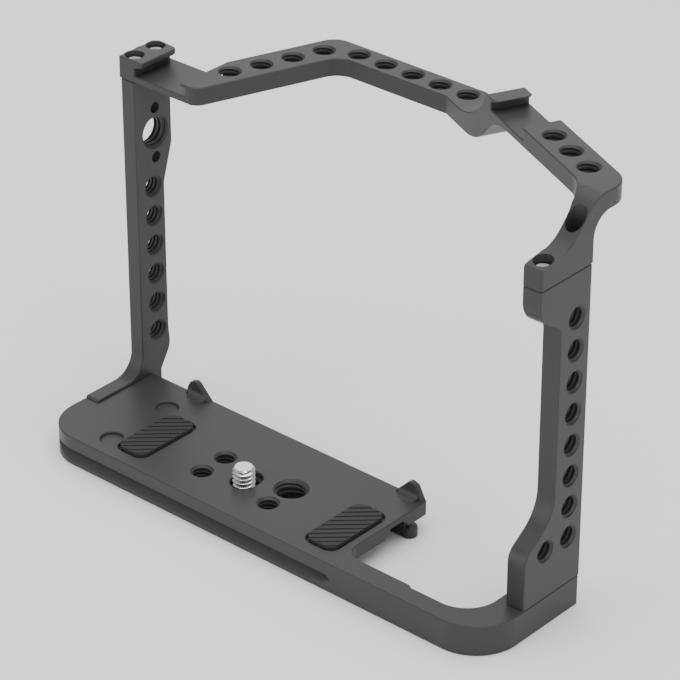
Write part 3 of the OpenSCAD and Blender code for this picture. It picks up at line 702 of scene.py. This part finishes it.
@dataclass
class MachinedPlate:
    """One milled piece: broken edges, and threads cut in its holes.

    Attributes:
        node: The CAD node it stands for.
        tapped: How the names of its threaded mounts begin.
        screws: How the names of the joint screws in it begin.
        finishes: The material of its faces, and that of its broken edges, whose darker base colour is
            painted shade along the chamfers.
        wide: Width of the broken edges.
        overshoot: How far a thread's cutter stands out past the cones.
        cap_mouth: Reach of a counterbore in the top, round which edges stay crisp.
        base_cap_mouth: The same for a counterbore in the underside.
        cap_above: How far the middle of a counterbore's reach lies past the head.
        cap_below: How far that reach goes down beside the head.
        shank_mouth: Reach of a joint screw's hole.
        sharp: The least turn of an edge that is broken.
        step: Distance of the vertices along a divided edge.
        shortest: Length up to which an edge isn't divided.
        folded: The turn at which two faces count as folded over.
        speck: Area, in square metres, up to which a face doesn't count.
        slack: How far a vertex may stand out of the node's box.
        ease: How far round a fault the edges are left sharp, at the first try.
        more_ease: What each further try adds to that.
        tries: How often the bevel is tried.
    """

    node: str
    tapped: tuple
    screws: tuple
    finishes: list
    wide: float = 0.26 * MM
    overshoot: float = 0.25 * MM
    cap_mouth: float = 2.95 * MM
    base_cap_mouth: float = 2.45 * MM
    cap_above: float = 5.0 * MM
    cap_below: float = 2.0 * MM
    shank_mouth: float = 1.8 * MM
    sharp: float = math.radians(26)
    step: float = 2.0 * MM
    shortest: float = 3.2 * MM
    folded: float = math.radians(145)
    speck: float = 1e-12
    slack: float = 0.01 * MM
    ease: float = 0.45 * MM
    more_ease: float = 0.2 * MM
    tries: int = 7

    def mounts(self) -> list[dict]:
        """The record's holes that lie in this plate."""
        return [m for m in frame["record"]["mounts"]
                if m["name"].startswith(self.tapped) and m["kind"] in ("threaded_hole", "bore")]

    def mouths(self) -> list[tuple]:
        """Finds the places round holes where edges stay crisp.

        Returns:
            The middle, axis, reach and half length of each.
        """
        found = []
        for mount in self.mounts():
            radius, length = mount["dims"]["r_mm"] * MM, mount["dims"]["length_mm"] * MM
            spare = lead_of(radius) + self.overshoot
            found.append((Vector(mount["pos_m"]), Vector(mount["axis"]), radius + spare,
                          length / 2 + spare))
        for node in frame["nodes"]:
            if not node.startswith(self.screws):
                continue
            low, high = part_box(node)
            middle = (low + high) / 2
            found.append((middle, UPRIGHT, self.shank_mouth, high.z - low.z))
            below = node.startswith("screw_base")
            reach = self.base_cap_mouth if below else self.cap_mouth
            height = low.z - self.cap_above if below else high.z + self.cap_above
            cap = Vector((middle.x, middle.y, height))
            found.append((cap, UPRIGHT, reach, self.cap_above + self.cap_below))
        return found

    def outer_edges(self, mesh: bmesh.types.BMesh) -> list:
        """Finds the edges that stand out and turn sharply, apart from the mouths of holes.

        Args:
            mesh: The plate's mesh.

        Returns:
            The edges.
        """
        mouths = self.mouths()
        found = []
        for edge in mesh.edges:
            if not edge.is_manifold or edge.calc_face_angle_signed() < self.sharp:
                continue
            middle = (edge.verts[0].co + edge.verts[1].co) / 2
            for place, axis, reach, half in mouths:
                off = middle - place
                along = off.dot(axis)
                if abs(along) < half and (off - along * axis).length < reach:
                    break
            else:
                found.append(edge)
        return found

    def divide(self, mesh: bmesh.types.BMesh) -> None:
        """Puts vertices along the long outer edges, so that a bevel can stop part of the way.

        Args:
            mesh: The plate's mesh.
        """
        for edge in [e for e in self.outer_edges(mesh) if e.calc_length() > self.shortest]:
            count = int(edge.calc_length() / self.step)
            last, end = edge.verts
            here, there = last.co.copy(), end.co.copy()
            for i in range(1, count):
                new = bmesh.utils.edge_split(edge, last, 1 / (count - i + 1))[1]
                new.co = here.lerp(there, i / count)
                edge = next(e for e in new.link_edges if e.other_vert(new) == end)
                last = new

    def bevelled(self, obj: bpy.types.Object, mesh: bmesh.types.BMesh) -> bpy.types.Object:
        """Bevels the marked edges of a copy of the plate.

        Args:
            obj: The plate, which takes the mesh and stays as it is.
            mesh: The marked mesh.

        Returns:
            The copy.
        """
        mesh.to_mesh(obj.data)
        trial = duplicate(obj, Matrix.Identity(4))
        # The bevel faces take the second material, whose darker base colour is painted shade along the
        # edges
        apply_modifier(trial, "BEVEL", limit_method="WEIGHT", width=self.wide, segments=1, material=1,
                       use_clamp_overlap=False, loop_slide=False)
        return trial

    def folds(self, obj: bpy.types.Object) -> list[Vector]:
        """Finds the places where a bevel has run over a neighbour, or out of the node's box.

        Args:
            obj: The bevelled plate.

        Returns:
            The places.
        """
        low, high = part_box(self.node)
        mesh = bmesh.new()
        mesh.from_mesh(obj.data)
        bmesh.ops.triangulate(mesh, faces=mesh.faces)
        bad = [(e.verts[0].co + e.verts[1].co) / 2 for e in mesh.edges
               if e.is_manifold and e.calc_face_angle() > self.folded
               and min(f.calc_area() for f in e.link_faces) > self.speck]
        bad += [v.co.copy() for v in mesh.verts
                if any(not low[i] - self.slack < v.co[i] < high[i] + self.slack for i in range(3))]
        mesh.free()
        return bad

    def break_edges(self, obj: bpy.types.Object) -> bpy.types.Object:
        """Bevels the outer edges, and leaves an edge sharp where a bevel has no room.

        Args:
            obj: The blank, which is used up.

        Returns:
            The plate with its edges broken.
        """
        mesh = bmesh.new()
        mesh.from_mesh(obj.data)
        self.divide(mesh)
        weight = mesh.edges.layers.float.new("bevel_weight_edge")
        edges = self.outer_edges(mesh)
        tree = KDTree(len(edges))
        for i, edge in enumerate(edges):
            tree.insert((edge.verts[0].co + edge.verts[1].co) / 2, i)
            edge[weight] = 1.0
        tree.balance()
        for attempt in range(self.tries):
            made = self.bevelled(obj, mesh)
            bad = self.folds(made)
            if not bad or attempt == self.tries - 1:
                break
            bpy.data.objects.remove(made)
            for place in bad:
                for _, i, _ in tree.find_range(place, self.ease + self.more_ease * attempt):
                    edges[i][weight] = 0.0
        sharp = sum(1 for e in edges if not e[weight])
        LOG.info("%s: %d of %d edges left sharp, %d folds", self.node, sharp, len(edges), len(bad))
        mesh.free()
        bpy.data.objects.remove(obj)
        return made

    def tap(self, obj: bpy.types.Object) -> None:
        """Cuts the threads.

        Args:
            obj: The plate.
        """
        bars, kinds = [], {}
        for mount in self.mounts():
            if mount["kind"] != "threaded_hole":
                continue
            radius, length = mount["dims"]["r_mm"], mount["dims"]["length_mm"]
            lead = lead_of(radius * MM)
            thread = QUARTER_INCH if lead < THREE_EIGHTHS_LEAD else THREE_EIGHTHS
            key = (radius, length)
            if key not in kinds:
                kinds[key] = thread.bar(length * MM + 2 * (lead + self.overshoot))
            turn = UPRIGHT.rotation_difference(Vector(mount["axis"])).to_matrix().to_4x4()
            bars.append(duplicate(kinds[key], Matrix.Translation(mount["pos_m"]) @ turn))
        for pattern in kinds.values():
            bpy.data.objects.remove(pattern)
        if bars:
            machine(obj, join(bars), Cut.AWAY)

    def build(self) -> bpy.types.Object:
        """Makes the plate and mounts it.

        Returns:
            The plate.
        """
        obj = self.break_edges(merged_copy(self.node))
        self.tap(obj)
        return dress(obj, f"{self.node}_milled", self.finishes, Body.FRAME, self.node)


@dataclass
class RibbedPad:
    """One rubber pad: the moulded ribs with soft edges."""

    node: str
    finish: bpy.types.Material
    soft: float = 0.14 * MM
    segments: int = 3
    sharp: float = 40.0

    def build(self) -> bpy.types.Object:
        """Makes the pad and mounts it.

        Returns:
            The pad.
        """
        obj = merged_copy(self.node)
        apply_modifier(obj, "BEVEL", limit_method="ANGLE", angle_limit=math.radians(self.sharp),
                       width=self.soft, segments=self.segments, use_clamp_overlap=True)
        return dress(obj, f"{self.node}_moulded", [self.finish], Body.FRAME, self.node,
                     self.sharp)


# Screws


@dataclass
class JointScrew:
    """A small socket screw that holds two plates together."""

    node: str
    head_r: float = 2.15 * MM
    head_h: float = 2.5 * MM
    shank_r: float = 1.25 * MM
    flats: float = 2.0 * MM
    socket_h: float = 1.3 * MM
    chamfer: float = 0.3 * MM
    ridges: int = 36
    ridge_depth: float = 0.07 * MM
    dark: tuple = (0.84, 0.84, 0.84)
    light: tuple = (0.96, 0.96, 0.96)
    roughness: float = 0.46

    def build(self) -> bpy.types.Object:
        """Makes the screw head up at the origin, then turns it into its place.

        Returns:
            The screw.
        """
        low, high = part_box(self.node)
        length = high.z - low.z - self.head_h
        obj = round_bar(self.head_r, 0.0, self.head_h, sides=2 * self.ridges)
        # Round the head the vertices come in pairs, one above the other, and every second pair moves in
        for i, vert in enumerate(sorted(obj.data.vertices, key=lambda v: math.atan2(v.co.y, v.co.x))):
            if (i // 2) % 2:
                vert.co.xy = vert.co.xy * (1 - self.ridge_depth / self.head_r)
        break_rings(obj, [self.head_h], self.chamfer)
        shank = JOINT_THREAD.bar(length + self.head_h / 2 + 2 * self.chamfer)
        tip = round_bar(self.shank_r, -length, self.head_h / 2, sides=40)
        break_rings(tip, [-length], self.chamfer, segments=1)
        with editing(shank):
            bpy.ops.transform.translate(value=(0, 0, (self.head_h / 2 - length) / 2))
        machine(shank, tip, Cut.COMMON)
        machine(obj, shank, Cut.ADD)
        key = round_bar(self.flats / math.sqrt(3), self.head_h - self.socket_h, 2 * self.head_h,
                        sides=6)
        machine(obj, key, Cut.AWAY)
        down = self.node.startswith("screw_base")
        turn = Matrix.Rotation(math.pi, 4, "X") if down else Matrix.Identity(4)
        seat = low.z + self.head_h if down else high.z - self.head_h
        centre = (low + high) / 2
        obj.matrix_world = Matrix.Translation((centre.x, centre.y, seat)) @ turn
        settle(obj)
        finish = TurnedSteelFinish(f"steel_{self.node}", (centre.x, centre.y), self.dark, self.light,
                                   self.roughness).make()
        return dress(obj, f"{self.node}_turned", [finish], Body.FRAME, self.node)


@dataclass
class CameraScrew:
    """The captive screw that holds the camera, with its washer."""

    head_r: float = 5.0 * MM
    head_h: float = 2.6 * MM
    neck_r: float = 2.5 * MM
    ledge: float = 7.55 * MM
    lead: float = 0.7 * MM
    slot_w: float = 2.0 * MM
    slot_h: float = 1.3 * MM
    notches: int = 30
    notch_r: float = 0.35 * MM
    ring: float = 0.2 * MM
    washer_gap: float = 0.05 * MM
    washer_edge: float = 0.1 * MM

    def screw(self) -> bpy.types.Object:
        """Makes the threaded screw with its slotted, notched head.

        Returns:
            The screw.
        """
        low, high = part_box("camera_screw")
        centre = (low + high) / 2
        obj = CAMERA_THREAD.bar(high.z - self.ledge + self.lead)
        with editing(obj):
            bpy.ops.transform.translate(value=(0, 0, (high.z + self.ledge) / 2))
        envelope = round_bar(CAMERA_THREAD.major_r, self.ledge, high.z)
        break_rings(envelope, [high.z], self.lead, segments=1)
        break_rings(envelope, [self.ledge], self.lead / 2, segments=1)
        machine(obj, envelope, Cut.COMMON)
        neck = round_bar(self.neck_r, low.z + self.head_h / 2, self.ledge + 2 * self.lead)
        machine(obj, neck, Cut.ADD)
        head = round_bar(self.head_r, low.z, low.z + self.head_h, sides=120)
        break_rings(head, [low.z, low.z + self.head_h], self.lead / 2)
        notch = round_bar(self.notch_r, low.z - self.lead, low.z + self.head_h + self.lead, sides=12)
        cuts = [duplicate(notch, Matrix.Rotation(TURN * i / self.notches, 4, "Z")
                          @ Matrix.Translation((self.head_r + self.notch_r / 3, 0, 0)))
                for i in range(self.notches)]
        bpy.data.objects.remove(notch)
        machine(head, join(cuts), Cut.AWAY)
        bpy.ops.mesh.primitive_cube_add(size=1, scale=(4 * self.head_r, self.slot_w, 2 * self.slot_h),
                                        location=(0, 0, low.z))
        machine(head, settle(bpy.context.object), Cut.AWAY)
        machine(obj, head, Cut.ADD)
        obj.matrix_world = Matrix.Translation((centre.x, centre.y, 0))
        settle(obj)
        finish = TurnedSteelFinish("steel_camera_screw", (centre.x, centre.y), ring=self.ring).make()
        return dress(obj, "camera_screw_turned", [finish], Body.SCREW, "camera_screw")

    def washer(self) -> bpy.types.Object:
        """Makes the washer that lets the screw slide in its slot.

        Returns:
            The washer.
        """
        low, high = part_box("screw_washer")
        centre = (low + high) / 2
        obj = round_bar(self.head_r, low.z, high.z)
        hole = round_bar(self.neck_r + self.washer_gap, low.z - self.lead, high.z + self.lead)
        machine(obj, hole, Cut.AWAY)
        break_rings(obj, [low.z, high.z], self.washer_edge, segments=1)
        obj.matrix_world = Matrix.Translation((centre.x, centre.y, 0))
        settle(obj)
        finish = TurnedSteelFinish("steel_washer", (centre.x, centre.y)).make()
        return dress(obj, "screw_washer_turned", [finish], Body.WASHER, "screw_washer")

    def build(self) -> None:
        """Makes both pieces."""
        self.screw()
        self.washer()


# The studio


@dataclass(frozen=True)
class Softbox:
    """One square soft light: its place and side in metres, and its power in watts."""

    name: str
    place: tuple
    size: float
    power: float

    def hang(self, target: Vector) -> None:
        """Hangs the light.

        Args:
            target: The point it looks at.
        """
        data = bpy.data.lights.new(self.name, "AREA")
        data.shape, data.size, data.energy = "SQUARE", self.size, self.power
        obj = bpy.data.objects.new(self.name, data)
        bpy.context.scene.collection.objects.link(obj)
        obj.location = self.place
        obj.rotation_euler = (target - Vector(self.place)).to_track_quat("-Z", "Y").to_euler()


@dataclass
class Studio:
    """The camera at the photograph's angle, soft lights and a pale floor."""

    target: tuple = (18.14 * MM, -27.475 * MM, 65.53 * MM)
    azimuth: float = math.radians(41.37)
    elevation: float = math.radians(29.83)
    distance: float = 831.6 * MM
    lens: float = 171.47
    sensor: float = 36.0
    far: float = 20.0
    floor: float = 6.0
    air: float = 0.55
    lights: tuple = (
        Softbox("overhead_softbox", (0.1, 0.0, 1.4), 1.6, 23),
        Softbox("rear_softbox", (-1.1, 1.25, 0.95), 1.4, 7),
        Softbox("right_softbox", (1.5, -0.3, 0.5), 1.0, 8),
        Softbox("front_softbox", (-0.7, -1.4, 0.35), 1.2, 11),
    )

    def camera(self) -> None:
        """Places the camera."""
        data = bpy.data.cameras.new("studio_camera")
        data.lens, data.sensor_width, data.clip_end = self.lens, self.sensor, self.far
        obj = bpy.data.objects.new("studio_camera", data)
        bpy.context.scene.collection.objects.link(obj)
        flat = math.cos(self.elevation)
        back = Vector((math.sin(self.azimuth) * flat, -math.cos(self.azimuth) * flat,
                       math.sin(self.elevation)))
        obj.location = Vector(self.target) + back * self.distance
        obj.rotation_euler = (-back).to_track_quat("-Z", "Y").to_euler()
        bpy.context.scene.camera = obj

    def build(self) -> None:
        """Sets up everything that isn't the object."""
        self.camera()
        for light in self.lights:
            light.hang(Vector(self.target))
        bpy.ops.mesh.primitive_plane_add(size=self.floor)
        paper = settle(bpy.context.object)
        paper.name = "studio_floor"
        paper.data.materials.append(FloorFinish().make())
        world = bpy.data.worlds.new("studio_air")
        bpy.context.scene.world = world
        world.use_nodes = True
        sky = world.node_tree.nodes["Background"]
        sky.inputs["Color"].default_value = (1.0, 1.0, 1.0, 1.0)
        sky.inputs["Strength"].default_value = self.air


# Assembly


# Each plate's node, how its threaded mounts' names begin, and how its joint screws' names begin
PLATES = (
    ("base_plate", ("base_thread", "base_large"), ("screw_base",)),
    ("left_plate", ("left_",), ("screw_top_left", "screw_base_left")),
    ("right_plate", ("right_",), ("screw_top_right", "screw_base_right")),
    ("top_bar", ("slant_", "front_", "block_"), ("screw_top",)),
)


def main() -> None:
    """Builds the cage's pieces in order, then the studio."""
    logging.basicConfig(level=logging.INFO, format="%(name)s: %(message)s")
    bpy.ops.object.select_all(action="DESELECT")
    screws = sorted(n for n in frame["nodes"] if n.startswith(("screw_top", "screw_base")))
    # The second material darkens the broken edges with painted shade
    metal = [AnodisedFinish().make(), EDGE_FINISH_PAINTED_SHADE.make()]
    rubber = RubberFinish().make()
    for node, tapped, held in PLATES:
        MachinedPlate(node, tapped, held, metal).build()
    for node in ("pad_left", "pad_right"):
        RibbedPad(node, rubber).build()
    for node in screws:
        JointScrew(node).build()
    CameraScrew().build()
    Studio().build()


if __name__ == "__main__":
    main()
